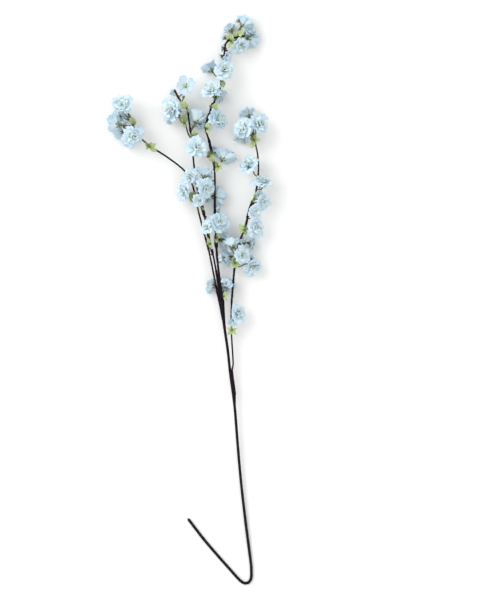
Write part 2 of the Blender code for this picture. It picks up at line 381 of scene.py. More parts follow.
def ramp(tree, factor, stops):
    made = node(tree, "ShaderNodeValToRGB")
    elements = made.color_ramp.elements
    while len(elements) < len(stops):
        elements.new(0.5)
    for element, (place, colour) in zip(elements, stops):
        element.position = place
        element.color = (*colour, 1.0)
    tree.links.new(factor, made.inputs[0])
    return made.outputs["Color"]


def blend_colours(tree, kind, amount, a, b):
    made = node(tree, "ShaderNodeMix", data_type="RGBA", blend_type=kind)
    sockets = made.inputs["Factor"], made.inputs[6], made.inputs[7]
    for socket, value in zip(sockets, (amount, a, b)):
        if isinstance(value, (int, float)):
            socket.default_value = value
        elif isinstance(value, tuple):
            socket.default_value = (*value, 1.0)
        else:
            tree.links.new(value, socket)
    return made.outputs[2]


def noise_texture(tree, scale, detail=2.0):
    coordinates = node(tree, "ShaderNodeTexCoord")
    made = node(tree, "ShaderNodeTexNoise")
    made.inputs["Scale"].default_value = scale
    made.inputs["Detail"].default_value = detail
    tree.links.new(coordinates.outputs["Object"], made.inputs["Vector"])
    return made.outputs["Fac"]


def weave(tree, scale):
    """The fine over-and-under of woven polyester."""
    coordinates = node(tree, "ShaderNodeTexCoord")
    threads = []
    for bands in ("X", "Y"):
        wave = node(tree, "ShaderNodeTexWave", bands_direction=bands)
        wave.inputs["Scale"].default_value = scale
        wave.inputs["Distortion"].default_value = 0.6
        tree.links.new(coordinates.outputs["Object"], wave.inputs["Vector"])
        threads.append(wave.outputs["Fac"])
    return maths(tree, "MAXIMUM", *threads)


def bump(tree, height, strength, distance, under=None):
    made = node(tree, "ShaderNodeBump")
    made.inputs["Strength"].default_value = strength
    made.inputs["Distance"].default_value = distance
    tree.links.new(height, made.inputs["Height"])
    if under is not None:
        tree.links.new(under, made.inputs["Normal"])
    return made.outputs["Normal"]


def veins(tree, count):
    """Embossed creases that fan out along a petal or leaf; 0 in a crease, 1 between."""
    across = attribute(tree, "across")
    wobble = maths(tree, "MULTIPLY", noise_texture(tree, 220), 4.0)
    phase = maths(tree, "ADD", maths(tree, "MULTIPLY", across, count * pi), wobble)
    wave = maths(tree, "ABSOLUTE", maths(tree, "COSINE", phase))
    return maths(tree, "POWER", wave, 0.5)


def petal_material():
    """Pale blue heat-formed polyester, greenish at the throat; painted shade darkens the creases,
    and a low tone greys a petal with painted shade.
    """
    material, tree, principled = shader("petal_fabric", 0.8)
    colour = ramp(tree, attribute(tree, "along"), (
        (0.0, (0.84, 0.91, 0.77)),
        (0.25, (0.835, 0.93, 0.925)),
        (0.55, (0.79, 0.91, 0.955)),
        (1.0, (0.695, 0.84, 0.945))))
    # Painted shade: a low tone greys the petal as if it lay in shade. Each petal draws its tone at
    # random within its blossom's range, and the shaded blossoms get the lower ranges.
    tones = ramp(tree, attribute(tree, "tone"), (
        (0.0, (0.80, 0.86, 0.90)), (0.45, (0.96, 0.98, 0.99)), (1.0, (1.0, 1.0, 1.0))))
    colour = blend_colours(tree, "MULTIPLY", 1.0, colour, tones)
    blotch = ramp(tree, noise_texture(tree, 140, 3.0), (
        (0.32, (0.92, 0.95, 0.96)), (0.68, (1.0, 1.0, 1.0))))
    colour = blend_colours(tree, "MULTIPLY", 0.5, colour, blotch)
    crease = veins(tree, 5)
    # Painted shade: the colour is darkened along each crease, where the folds would fall into
    # shade; the bump below embosses the same creases.
    lines = ramp(tree, crease, ((0.05, (0.84, 0.89, 0.89)), (0.50, (1.0, 1.0, 1.0))))
    colour = blend_colours(tree, "MULTIPLY", 0.3, colour, lines)
    tree.links.new(colour, principled.inputs["Base Color"])
    normal = bump(tree, crease, 0.25, 0.4 * MM)
    normal = bump(tree, weave(tree, 900), 0.25, 0.08 * MM, normal)
    tree.links.new(normal, principled.inputs["Normal"])
    principled.inputs["Sheen Weight"].default_value = 0.05
    principled.inputs["Specular IOR Level"].default_value = 0.15
    through = node(tree, "ShaderNodeBsdfTranslucent")
    tree.links.new(colour, through.inputs["Color"])
    tree.links.new(normal, through.inputs["Normal"])
    mix = node(tree, "ShaderNodeMixShader")
    mix.inputs[0].default_value = 0.24
    tree.links.new(principled.outputs[0], mix.inputs[1])
    tree.links.new(through.outputs[0], mix.inputs[2])
    tree.links.new(mix.outputs[0], tree.nodes["Material Output"].inputs["Surface"])
    return material


def leaf_material():
    """Printed fabric leaves: light yellow-green, olive along the rib and towards the base."""
    material, tree, principled = shader("leaf_fabric", 0.7)
    light = ramp(tree, attribute(tree, "along"), (
        (0.0, (0.26, 0.31, 0.12)), (0.30, (0.44, 0.545, 0.26)), (1.0, (0.53, 0.64, 0.36))))
    olive = ramp(tree, attribute(tree, "along"), (
        (0.0, (0.10, 0.12, 0.03)), (0.40, (0.18, 0.22, 0.08)), (1.0, (0.31, 0.38, 0.17))))
    colour = blend_colours(tree, "MIX", attribute(tree, "tone"), olive, light)
    patches = ramp(tree, noise_texture(tree, 170, 3.0), (
        (0.35, (0.66, 0.70, 0.52)), (0.6, (1.0, 1.0, 1.0))))
    colour = blend_colours(tree, "MULTIPLY", 0.8, colour, patches)
    middle = maths(tree, "ABSOLUTE", attribute(tree, "across"))
    rib = ramp(tree, middle, ((0.03, (0.5, 0.55, 0.36)), (0.16, (1.0, 1.0, 1.0))))
    colour = blend_colours(tree, "MULTIPLY", 0.6, colour, rib)
    tree.links.new(colour, principled.inputs["Base Color"])
    normal = bump(tree, veins(tree, 5), 0.4, 0.3 * MM)
    normal = bump(tree, weave(tree, 900), 0.25, 0.08 * MM, normal)
    tree.links.new(normal, principled.inputs["Normal"])
    principled.inputs["Specular IOR Level"].default_value = 0.3
    return material


def calyx_material():
    """Soft olive plastic of the calyxes and pedicels, darker where the dye has pooled."""
    material, tree, principled = shader("calyx_plastic", 0.5)
    dark = ramp(tree, noise_texture(tree, 300, 3.0), (
        (0.3, (0.030, 0.034, 0.008)), (0.7, (0.085, 0.095, 0.018))))
    light = ramp(tree, noise_texture(tree, 420, 3.0), (
        (0.3, (0.13, 0.16, 0.04)), (0.7, (0.24, 0.28, 0.09))))
    colour = blend_colours(tree, "MIX", attribute(tree, "tone"), dark, light)
    tree.links.new(colour, principled.inputs["Base Color"])
    normal = bump(tree, noise_texture(tree, 1500), 0.3, 0.1 * MM)
    tree.links.new(normal, principled.inputs["Normal"])
    return material


def stamen_material():
    """Pale filaments with yellow-green tips."""
    material, tree, principled = shader("stamen_thread", 0.6)
    colour = ramp(tree, attribute(tree, "tone"), (
        (0.0, (0.66, 0.76, 0.52)), (1.0, (0.68, 0.69, 0.28))))
    grain = ramp(tree, noise_texture(tree, 900), ((0.3, (0.8, 0.8, 0.8)), (0.7, (1, 1, 1))))
    colour = blend_colours(tree, "MULTIPLY", 1.0, colour, grain)
    tree.links.new(colour, principled.inputs["Base Color"])
    return material


def wrap_material():
    """Near-black paper-and-plastic wrap, faintly purple-brown; olive where tone is 1."""
    material, tree, principled = shader("coated_wire", 0.6)
    black = ramp(tree, noise_texture(tree, 420, 4.0), (
        (0.3, (0.005, 0.003, 0.006)),
        (0.55, (0.011, 0.006, 0.012)),
        (0.8, (0.030, 0.018, 0.027))))
    olive = ramp(tree, noise_texture(tree, 260, 4.0), (
        (0.35, (0.035, 0.036, 0.012)),
        (0.55, (0.105, 0.115, 0.030)),
        (0.7, (0.22, 0.26, 0.08))))
    colour = blend_colours(tree, "MIX", attribute(tree, "tone"), black, olive)
    tree.links.new(colour, principled.inputs["Base Color"])
    rough = ramp(tree, noise_texture(tree, 700), (
        (0.3, (0.50, 0.50, 0.50)), (0.7, (0.75, 0.75, 0.75))))
    tree.links.new(rough, principled.inputs["Roughness"])
    normal = bump(tree, noise_texture(tree, 900, 4.0), 0.5, 0.25 * MM)
    tree.links.new(normal, principled.inputs["Normal"])
    principled.inputs["Specular IOR Level"].default_value = 0.09
    return material


def core_material():
    """The cut end of the steel wire inside the stem."""
    material, tree, principled = shader("wire_core", 0.35)
    colour = ramp(tree, noise_texture(tree, 1200), (
        (0.3, (0.42, 0.42, 0.41)), (0.7, (0.62, 0.62, 0.60))))
    tree.links.new(colour, principled.inputs["Base Color"])
    principled.inputs["Metallic"].default_value = 1.0
    return material


def floor_material():
    material, _, principled = shader("table", 0.9)
    principled.inputs["Base Color"].default_value = (0.84, 0.84, 0.832, 1.0)
    principled.inputs["Specular IOR Level"].default_value = 0.0
    return material


# ---------------------------------------------------------------- blossoms

def profile(layer, reach, height, radius, t):
    """Distance from the axis, height and slope at share t of a petal's middle line."""
    bend = (layer.shoulder * radius, layer.rise * radius)
    s = 1.0 - t
    x = s * s * PETAL_START + 2 * s * t * bend[0] + t * t * reach
    z = 2 * s * t * bend[1] + t * t * height
    run = s * (bend[0] - PETAL_START) + t * (reach - bend[0])
    climb = s * bend[1] + t * (height - bend[1])
    length = (run * run + climb * climb) ** 0.5
    return x, z, run / length, climb / length


def petal_rows(flower, layer, turn, rng):
    """One fluted petal as a grid of points, from its base to its lobed, heat-cut edge."""
    radius, axis, base = flower["radius"], flower["axis"], flower["base"]
    out = Matrix.Rotation(turn, 3, axis) @ flower["notch"]
    side = axis.cross(out)
    reach = radius * layer.reach * rng.uniform(*REACH_RANGE)
    outside = flower["layers"] is DOUBLE and layer.piece == "outer"
    droop = OUTER_DROOP if outside else PETAL_DROOP
    height = radius * (layer.height + rng.uniform(-droop, PETAL_LIFT))
    half_angle = radians(layer.half_angle * rng.uniform(*ANGLE_RANGE))
    slow, quick = rng.uniform(0, tau), rng.uniform(0, tau)
    fold = radius * rng.uniform(*FOLD_RANGE)
    flute = radius * layer.flute * rng.uniform(*FLUTE_RANGE)
    cup = radius * rng.uniform(*(FAN_CUP_RANGE if flower["layers"] is FAN else CUP_RANGE))
    frays = [rng.uniform(-FRAY, FRAY) for _ in range(layer.columns)]
    rows = []
    for i in range(layer.rows):
        u = i / (layer.rows - 1)
        row = []
        for j in range(layer.columns):
            v = 2 * j / (layer.columns - 1) - 1
            lobe = sin(layer.lobes * v + quick)
            pull = CORNER_PULL * abs(v) ** 2.6 + NOTCH_PULL * exp(-(v / 0.14) ** 2)
            pull += LOBE_PULL * (1 - abs(lobe) ** 0.8) + frays[j]
            x, z, level, steep = profile(layer, reach, height, radius, u * (1 - pull * u ** 3))
            lift = fold * u ** 1.4 * sin(2.2 * v + slow) + flute * u ** 2.2 * lobe
            lift += cup * v * v * u + 0.05 * radius * v * u
            x -= lift * steep
            z += lift * level
            angle = v * half_angle
            row.append(settled(base + x * (cos(angle) * out + sin(angle) * side) + z * axis))
        rows.append(row)
    return rows


def tipped_flower(flower, rng):
    """The flower tipped and slipped a little off its axis, for a layer that is out of true."""
    tip = Matrix.Rotation(radians(rng.uniform(-LAYER_TIP, LAYER_TIP)), 3, flower["notch"])
    side = flower["axis"].cross(flower["notch"])
    tip = Matrix.Rotation(radians(rng.uniform(-LAYER_TIP, LAYER_TIP)), 3, side) @ tip
    slip = [flower["radius"] * rng.uniform(-LAYER_SLIP, LAYER_SLIP) for _ in range(2)]
    base = flower["base"] + slip[0] * flower["notch"] + slip[1] * side
    return dict(flower, axis=tip @ flower["axis"], notch=tip @ flower["notch"], base=base)


def petal_piece(flower, piece, rng):
    """All the petals of one piece of a blossom; every layer but the first is out of true."""
    build = Builder()
    for layer in flower["layers"]:
        if layer.piece != piece:
            continue
        tipped = flower if layer is flower["layers"][0] else tipped_flower(flower, rng)
        for k in range(layer.petals):
            turn = radians(layer.turn + 36) + tau * k / layer.petals
            turn += rng.uniform(-PETAL_TURN, PETAL_TURN)
            rows = petal_rows(tipped, layer, turn, rng)
            # The tone is random within the blossom's range, and the lower ranges paint shade onto
            # the blossoms that have them.
            build.grid(rows, rng.uniform(*flower["tones"]), span=layer.reach)
    return build


def sepal_rows(flower, turn):
    """One pointed sepal, which hugs the underside of the petals."""
    axis, base, radius = flower["axis"], flower["base"], flower["radius"]
    out = Matrix.Rotation(turn, 3, axis) @ flower["notch"]
    side = axis.cross(out)
    layer = flower["layers"][0]
    share = min(0.6, SEPAL_LENGTH / radius)
    rows = []
    for i in range(SEPAL_ROWS):
        t = i / (SEPAL_ROWS - 1)
        x, z, level, steep = profile(layer, radius, radius * layer.height, radius, 0.08 + share * t)
        x += (steep + 0.6) * MM
        z -= 1.1 * level * MM
        half = SEPAL_HALF_WIDTH * (1 - t) ** 0.7 + 0.08 * MM
        row = []
        for v in (-1, 0, 1):
            edge = (z + 0.5 * MM * v * v) * axis
            row.append(settled(base + x * out + half * v * side + edge))
        rows.append(row)
    return rows


def calyx(flower, rng):
    """The curved pedicel, the bell of the calyx and its five pointed sepals."""
    build = Builder()
    base, line = flower["base"], flower["pedicel"]
    start = line[0] - (line[1] - line[0]).normalized() * 1.2 * MM
    line = catmull([start] + line, PEDICEL_STEP)
    radii = [PEDICEL_RADIUS * (1.4 - 0.4 * min(1.0, i / 3)) for i in range(len(line))]
    tones = [rng.uniform(0.15, 0.5)] * len(line)
    foot = line[-1]
    for share, width in CALYX_BELL:
        line.append(foot + (base - foot) * share)
        radii.append(CALYX_RADIUS * width)
        tones.append(0.1)
    build.tube([settled(place) for place in line], radii, 10, tones)
    for k in range(5):
        rows = sepal_rows(flower, tau * k / 5 + rng.uniform(-0.12, 0.12))
        build.plate(rows, SEPAL_THICKNESS * flower["axis"], rng.uniform(0.2, 0.7))
    return build


def stamens(flower, rng, count):
    """Fine threads that spread from the throat, each with a bead at its tip."""
    build = Builder()
    axis, notch = flower["axis"], flower["notch"]
    side = axis.cross(notch)
    for k in range(count):
        turn = tau * (k + rng.random()) / count
        spread = radians(rng.uniform(6, 34))
        out = cos(turn) * notch + sin(turn) * side
        way = cos(spread) * axis + sin(spread) * out
        length = flower["radius"] * rng.uniform(0.36, 0.56)
        root = flower["base"] + 0.6 * MM * out + 0.8 * MM * axis
        line = [root, root + 0.5 * length * (way + 0.15 * axis), root + length * way]
        line = [settled(place) for place in line]
        build.tube(line, [0.18 * MM, 0.15 * MM, 0.12 * MM], 4, 0.0)
        build.ball(line[-1], ANTHER_RADIUS, way, 1.0)
    return build


def place_blossom(flower, looks, rng):
    """Builds one blossom's pieces, and returns its first one."""
    name = flower["name"]
    pieces = []
    for part in ("outer", "inner"):
        build = petal_piece(flower, part, rng)
        if build.points:
            made = build.build(f"{name}_{part}_petals", looks["petal"], PETAL_THICKNESS)
            pieces.append(finish_piece(made))
    finish_piece(calyx(flower, rng).build(f"{name}_calyx", looks["calyx"]))
    if flower["layers"] is not SMALL:
        count = SINGLE_STAMENS if flower["layers"] is SINGLE else STAMENS
        threads = stamens(flower, rng, count)
        finish_piece(threads.build(f"{name}_stamens", looks["stamen"]))
    return pieces[0]


# Half-hidden blossoms with no CAD node: wire, share of the way along it, millimetres to its
# right and above it, azimuth and elevation of the way it faces, and radius in millimetres.
SMALL_BLOSSOMS = (
    ("left_branch", 0.990, -8, -6, 50, 35, 12),
    ("left_branch", 0.960, -18, 6, 105, -18, 13),
    ("left_branch", 0.906, 10, 4, 35, 30, 10),
    ("left_branch", 0.883, -29, -6, 260, 20, 10),
    ("middle_branch", 0.988, -5, -4, 230, 60, 9),
    ("middle_branch", 0.462, 16, -4, -60, 25, 10),
    ("middle_twig", 1.365, 7, 2, 60, 10, 8),
    ("middle_twig", 1.220, -24, -4, 262, 30, 9),
    ("middle_branch", 0.814, 10, -8, 250, 25, 9),
    ("middle_branch", 0.806, 24, -8, -60, 20, 10),
    ("leader_branch", 0.891, 8, 3, -30, 50, 12),
    ("leader_branch", 0.942, -12, -4, 165, 5, 9),
    ("leader_branch", 0.915, -6, -4, 185, -8, 8),
    ("leader_branch", 0.884, -7, -3, 200, 5, 7),
    ("leader_branch", 1.025, -9, -6, 45, 40, 14),
    ("leader_branch", 0.996, -34, -8, 150, 5, 8),
    ("leader_branch", 0.538, 8, -5, 200, 25, 12),
    ("leader_branch", 0.448, -15, -6, 80, 25, 12),
    ("leader_branch", 0.319, 8, -2, 5, 35, 13),
    ("leader_branch", 0.306, -6, -6, 170, 10, 8),
    ("leader_branch", 0.232, 20, -4, 60, 45, 13),
    ("leader_branch", 0.152, 7, 2, 195, 20, 12),
    ("right_branch", 0.799, 12, 4, -60, 30, 12),
    ("right_branch", 0.762, 11, 4, 50, 45, 12),
    ("right_branch", 0.587, 7, 0, 95, 30, 12),
    ("right_branch", 0.540, -15, -6, 200, 15, 11),
    ("right_branch", 0.528, 33, -6, 60, 30, 9),
    ("right_branch", 0.271, 4, 8, -85, 45, 14),
    ("leader_branch", 0.062, 14, 10, 60, 55, 14),
    ("leader_branch", 0.040, 11, -6, 250, 35, 13),
    ("leader_branch", 1.047, -2, -6, 20, 35, 11),
)


def small_blossom(name, spot, right, above, azimuth, elevation, radius):
    """A small double blossom on its own short pedicel beside a wire."""
    axis = direction(azimuth, elevation)
    centre = spot.place + right * MM * spot.right + above * MM * UP
    centre.z = max(centre.z, radius * MM * cos(radians(elevation)) + 1 * MM)
    base = centre - 0.5 * radius * MM * axis
    foot = base - 5 * MM * axis
    root = spot.place - 9 * MM * spot.way
    return {
        "name": name,
        "axis": axis,
        "base": base,
        "radius": radius * MM,
        "notch": axis.orthogonal().normalized(),
        "pedicel": [root, root.lerp(foot, 0.5) - 2 * MM * axis, foot],
        "layers": SMALL,
        # Painted shade: the half-hidden small blossoms draw tones from the low end, so their petals
        # are painted greyer as if shaded.
        "tones": (0.0, 0.7),
    }


# ---------------------------------------------------------------- wires

Spot = namedtuple("Spot", "place way right")


def spot_on(line, share):
    """A place on a wire's line, at a share of its length, with its way and its right side."""
    lengths = [(b - a).length for a, b in zip(line, line[1:])]
    left = share * sum(lengths)
    index = 0
    while index < len(lengths) - 1 and left > lengths[index]:
        left -= lengths[index]
        index += 1
    way = (line[index + 1] - line[index]).normalized()
    return Spot(line[index] + left * way, way, way.cross(UP).normalized())


# Stretches of a wire: from and to, as shares of its length, and how much they are swollen by
# bark, or how olive they are.
BARK = {
    "left_branch": ((-0.1, 0.075, 0.25), (0.24, 0.30, 0.25)),
    "middle_branch": ((-0.1, 0.14, 0.30), (0.22, 0.31, 0.55), (0.395, 0.455, 0.75)),
    "leader_branch": ((-0.1, 0.13, 0.30), (0.14, 0.19, 0.35), (0.19, 0.24, 0.85),
                      (0.31, 0.36, 0.45), (0.485, 0.58, 0.60), (0.650, 0.715, 1.3)),
    "right_branch": ((0.00, 0.10, 0.15), (0.34, 0.49, 0.35), (0.59, 0.63, 0.45),
                     (0.645, 0.69, 0.60), (0.70, 0.745, 0.60)),
}
OLIVE = {
    "left_branch": ((0.80, 1.1, 1.0), (0.42, 0.49, 0.6)),
    "middle_branch": ((0.24, 0.30, 0.35), (0.88, 0.95, 0.5)),
    "middle_twig": ((0.45, 1.1, 0.9),),
    "leader_branch": ((0.22, 0.25, 0.3), (0.60, 0.64, 0.4), (0.725, 0.80, 0.8), (0.48, 0.54, 0.5)),
    "right_branch": ((0.60, 0.65, 0.5), (0.735, 0.77, 0.7), (0.94, 1.1, 0.8)),
}


def stretch_amount(stretches, share, edge=0.012):
    """How strongly the stretches act at a share of a wire, with soft ends."""
    amount = 0.0
    for start, end, strength in stretches:
        inside = min(share - start, end - share) / edge
        amount = max(amount, strength * min(1.0, max(0.0, 0.5 + inside)))
    return amount


def wire_piece(name, line, radii, tones, look):
    """A wrapped wire with a spiral lap and rounded ends."""
    build = Builder()
    radii = list(radii)
    for i, width in enumerate((0.45, 0.85)):
        radii[i] *= width
        radii[-1 - i] *= width
    pitch = LAP_PITCH / WIRE_STEP
    thinnest = min(radii[3:-3])

    def lap(i, angle):
        phase = (i / pitch + angle / tau) % 1.0
        swelling = radii[i] / thinnest - 1
        bark = 0.10 * noise.noise(line[i] * 420 + Vector((angle, 0, 0))) * swelling
        return 1.0 + 0.045 * exp(-(min(phase, 1 - phase) / 0.10) ** 2) + bark

    build.tube(line, radii, WIRE_SIDES, tones, lap)
    return build.build(name + "_wrap", look)


def wire_radii(name, line, radius, roots):
    """The radius at each point: knots at the pedicels, bark where BARK says, a little grain."""
    radii, tones = [], []
    for i, place in enumerate(line):
        share = i / (len(line) - 1)
        near = min(((place - root).length for root in roots), default=1.0)
        knot = 0.30 * exp(-(max(0.0, near - radius) / KNOT_REACH) ** 2)
        bark = stretch_amount(BARK.get(name, ()), share)
        bark *= 1.0 + 0.5 * noise.noise(place * 300)
        grain = 0.05 * noise.noise(place * 160)
        radii.append(radius * (1.0 + knot + bark + grain))
        tones.append(stretch_amount(OLIVE.get(name, ()), share))
    return radii, tones


# Branches bound to the stem: how far each one's tail runs down it, in millimetres, and where
# round the stem it lies, in degrees from its right side.
TAILS = {
    "left_branch": ("main_stem", 44, 180),
    "middle_branch": ("main_stem", 34, 90),
    "leader_branch": ("main_stem", 58, 0),
    "right_branch": ("main_stem", 26, 20),
}


def tail(host, host_radius, start, length, around, radius):
    """Points and radii of a branch's tail, which thins out into the wrap of the stem it is on."""
    nearest = min(range(len(host)), key=lambda i: (host[i] - start).length)
    points, radii = [], []
    steps = max(3, round(length * MM / WIRE_STEP))
    for k in range(steps):
        index = nearest - steps + k
        if index < 1:
            continue
        t = k / steps
        way = (host[index + 1] - host[index - 1]).normalized()
        right = way.cross(UP).normalized()
        out = cos(radians(around)) * right + sin(radians(around)) * right.cross(way)
        reach = host_radius * (0.55 + 0.45 * t) + radius * (0.1 + 0.75 * t)
        points.append(host[index] + reach * out)
        radii.append(radius * (0.45 + 0.5 * t))
    return points, radii


# Short cut stubs: wire, share, azimuth, length and radius in millimetres.
STUBS = (
    ("leader_branch", 0.908, -5, 7, 1.5),
    ("leader_branch", 0.990, 8, 11, 1.6),
    ("leader_branch", 0.668, 165, 4.5, 1.3),
    ("leader_branch", 0.472, 200, 4, 1.2),
    ("right_branch", 0.718, 25, 8, 1.3),
    ("right_branch", 0.667, -10, 6, 1.2),
    ("middle_branch", 0.218, 190, 4, 1.6),
    ("middle_branch", 0.395, -20, 5, 1.6),
    ("left_branch", 0.547, 120, 5, 1.2),
    ("middle_branch", 0.765, 215, 5, 1.3),
)


def stub_piece(name, spot, azimuth, length, radius, look):
    """A short cut side shoot, with a rounded end."""
    build = Builder()
    way = direction(azimuth, 12)
    line = [spot.place + way * length * MM * t for t in (0.0, 0.4, 0.8, 0.95, 1.0)]
    widths = (1.15, 0.95, 1.0, 0.85, 0.45)
    build.tube(line, [radius * MM * width for width in widths], 10, 0.0)
    return build.build(name, look)


# Olive buds and bare calyxes: wire, share, millimetres to the right and above, azimuth,
# elevation and length in millimetres.
BUDS = (
    ("left_branch", 0.932, -12, 8, 20, 30, 8),
    ("middle_branch", 0.548, 6, 20, 80, 30, 7),
    ("middle_branch", 0.945, 9, 4, 75, 20, 7),
    ("left_branch", 0.556, -1, 14, 110, 35, 7),
    ("leader_branch", 0.700, -4, 4, 120, 15, 7),
    ("leader_branch", 0.520, -8, 2, 190, 10, 8),
    ("right_branch", 0.985, -3, 5, 100, 20, 9),
    ("leader_branch", 0.975, 5, 5, 20, 20, 7),
)


def bud_piece(name, spot, right, above, azimuth, elevation, length, look):
    """A closed bud in its calyx on a short pedicel."""
    build = Builder()
    axis = direction(azimuth, elevation)
    middle = spot.place + right * MM * spot.right + above * MM * UP
    foot = middle - 0.5 * length * MM * axis
    root = spot.place - 6 * MM * spot.way
    line = catmull([root, root.lerp(foot, 0.55) - 1.5 * MM * axis, foot], PEDICEL_STEP)
    radii = [PEDICEL_RADIUS] * len(line)
    tones = [0.35] * len(line)
    for share, width in BUD_BELL:
        line.append(foot + share * length * MM * axis)
        radii.append(CALYX_RADIUS * 0.95 * width)
        tones.append(0.05 + 0.35 * share)
    build.tube(line, radii, 10, tones, lambda i, angle: 1.0 + 0.06 * cos(5 * angle))
    return build.build(name, look)


# ---------------------------------------------------------------- leaves

# Leaves of each CAD leaf star: millimetres from its middle to the right (+X), up (+Y) and above
# it, then azimuth, length in millimetres and tone (1 light, 0 olive) of each leaf.
SPRAYS = {
    "left_leaf": (0, 0, 1, ((26, 14, 0.8), (-33, 16, 0.7), (140, 12, 0.1), (214, 8, 0.6),
                            (62, 9, 0.3))),
    "middle_leaf": (5, -14, 1, ((122, 25, 0.7), (98, 23, 0.2), (160, 11, 0.3))),
    "twig_leaf": (1, -4, 1, ((98, 16, 0.9), (122, 14, 0.1), (-75, 10, 0.8), (80, 18, 0.2))),
    "leader_leaf_1": (0, -2, -8, ((158, 19, 1.0), (205, 15, 1.0), (240, 20, 1.0), (12, 25, 1.0),
                                  (-12, 28, 1.0), (-34, 23, 1.0), (72, 14, 0.8), (40, 26, 0.9),
                                  (-68, 14, 1.0))),
    "leader_leaf_2": (3, 0, 1, ((30, 11, 1.0), (-85, 13, 0.6), (120, 8, 0.1))),
    "leader_leaf_3": (8, 1, 1, ((62, 9, 1.0), (-28, 9, 1.0), (-118, 13, 0.8), (122, 12, 0.1))),
    "right_leaf_1": (-1, 0, 1, ((72, 12, 0.9), (6, 13, 1.0), (-108, 16, 0.8), (150, 9, 0.0))),
    "right_leaf_2": (0, 0, 1, ((202, 11, 1.0), (155, 9, 0.7), (-14, 10, 0.9), (-62, 11, 1.0),
                               (-112, 10, 1.0), (88, 13, 0.0), (60, 10, 0.1))),
    "right_leaf_3": (1, -1, 1, ((148, 11, 1.0), (228, 12, 1.0), (-48, 12, 1.0), (22, 10, 0.9),
                                (90, 9, 0.1), (-90, 8, 0.9))),
}

# Leaves with no CAD node: wire, share of the way along it, millimetres to its right, and the
# leaves as above.
SPRIGS = (
    ("left_branch", 0.940, 2, ((112, 17, 0.6), (60, 8, 0.3))),
    ("middle_branch", 0.894, 1, ((132, 19, 0.9), (120, 13, 0.2), (-60, 9, 0.5))),
    ("middle_branch", 0.765, 3, ((68, 13, 0.8), (30, 11, 0.3), (150, 8, 0.2))),
    ("middle_twig", 0.75, 1, ((70, 11, 1.0),)),
    ("leader_branch", 0.689, 3, ((62, 17, 0.7), (85, 12, 0.4))),
    ("leader_branch", 0.618, 3, ((80, 14, 1.0), (-72, 11, 1.0))),
    ("leader_branch", 0.531, 0, ((180, 12, 0.1), (-84, 19, 0.8), (205, 9, 0.0))),
    ("right_branch", 0.746, 1, ((62, 13, 0.6), (-110, 8, 0.3))),
    ("right_branch", 0.622, 0, ((130, 14, 1.0), (216, 11, 0.9), (-74, 11, 0.5), (34, 12, 0.2))),
    ("leader_branch", 0.227, 2, ((58, 13, 0.9), (-98, 10, 0.4))),
    ("middle_branch", 0.268, 0, ((112, 12, 0.8), (-70, 11, 0.9), (175, 7, 0.3))),
    ("middle_branch", 0.443, -1, ((100, 10, 0.6), (-60, 9, 0.2))),
    ("leader_branch", 0.016, 2, ((62, 11, 0.9), (-46, 11, 1.0))),
    ("leader_branch", 0.955, 3, ((75, 12, 0.8), (10, 10, 0.9))),
)


def leaf_rows(base, way, length, half_width, arch, roll):
    """One pointed leaf, folded along its rib and rolled about it, with a toothed edge."""
    side = UP.cross(way).normalized()
    side = Matrix.Rotation(roll, 3, way) @ side
    up = way.cross(side)
    rows = []
    for i in range(LEAF_STEPS + 1):
        t = i / LEAF_STEPS
        tooth = 1.0 + (0.12 if i % 2 else -0.04)
        half = half_width * (sin(pi * t ** 0.8) ** 0.8 * tooth if 0 < t < 1 else 0.0) + 0.15 * MM
        place = base + way * length * t + up * length * arch * sin(pi * t * 0.9)
        rows.append([settled(place + half * v * side + 0.30 * half * abs(v) * up)
                     for v in (-1.0, -0.5, 0.0, 0.5, 1.0)])
    return rows


def leaf_spray(name, heart, leaves, look, rng):
    """The leaves that spread from one heart, each a little off its listed size."""
    build = Builder()
    for azimuth, length, tone in leaves:
        way = direction(azimuth, rng.uniform(-6, 16))
        length *= MM * rng.uniform(0.97, 1.08)
        rows = leaf_rows(heart + 0.6 * MM * way, way, length, length * rng.uniform(0.24, 0.34),
                         rng.uniform(0.04, 0.16), rng.uniform(-0.4, 0.4))
        build.grid(rows, tone)
    return build.build(name, look, LEAF_THICKNESS)


def stalk_piece(name, start, end, look):
    """The olive stalk and knuckle that a spray of leaves grows from."""
    build = Builder()
    middle = start.lerp(end, 0.5) + 1.0 * MM * UP
    line = catmull([start, middle, end], 1.2 * MM)
    build.tube(line, [STALK_RADIUS] * len(line), 8, 0.3)
    way = (end - start).normalized()
    build.ball(end, KNUCKLE_RADIUS, way, tone=0.1, stretch=1.2, sides=10, rings=7)
    return build.build(name, look)


# ---------------------------------------------------------------- assembling

def finish_piece(piece):
    """Puts a piece on the body."""
    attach(piece, BODY)
    return piece


def build_blossoms(looks, lines):
    """All the blossoms; returns where the pedicels of the CAD ones start."""
    flowers = [blossom_frame(n) for n in sorted(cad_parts) if "blossom" in n]
    for index, flower in enumerate(flowers):
        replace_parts(place_blossom(flower, looks, random.Random(1000 + index)), flower["name"])
    for index, (wire, share, *placing) in enumerate(SMALL_BLOSSOMS):
        spot = spot_on(lines[wire], share)
        flower = small_blossom(f"small_blossom_{index + 1}", spot, *placing)
        place_blossom(flower, looks, random.Random(2000 + index))
    return [flower["pedicel"][0] for flower in flowers]


def bound_foot(branch, stem, reach):
    """The branch's line, with its foot drawn in until it lies against the stem."""
    line = []
    for i, place in enumerate(branch):
        near = min(stem, key=lambda point: (point - place).length)
        gap = max(0.0, (place - near).length - reach)
        hold = (BOUND_LENGTH - i * WIRE_STEP) / BOUND_EASE
        hold = min(1.0, max(0.0, hold))
        line.append(place - (place - near).normalized() * gap * hold * hold * (3 - 2 * hold))
    return line


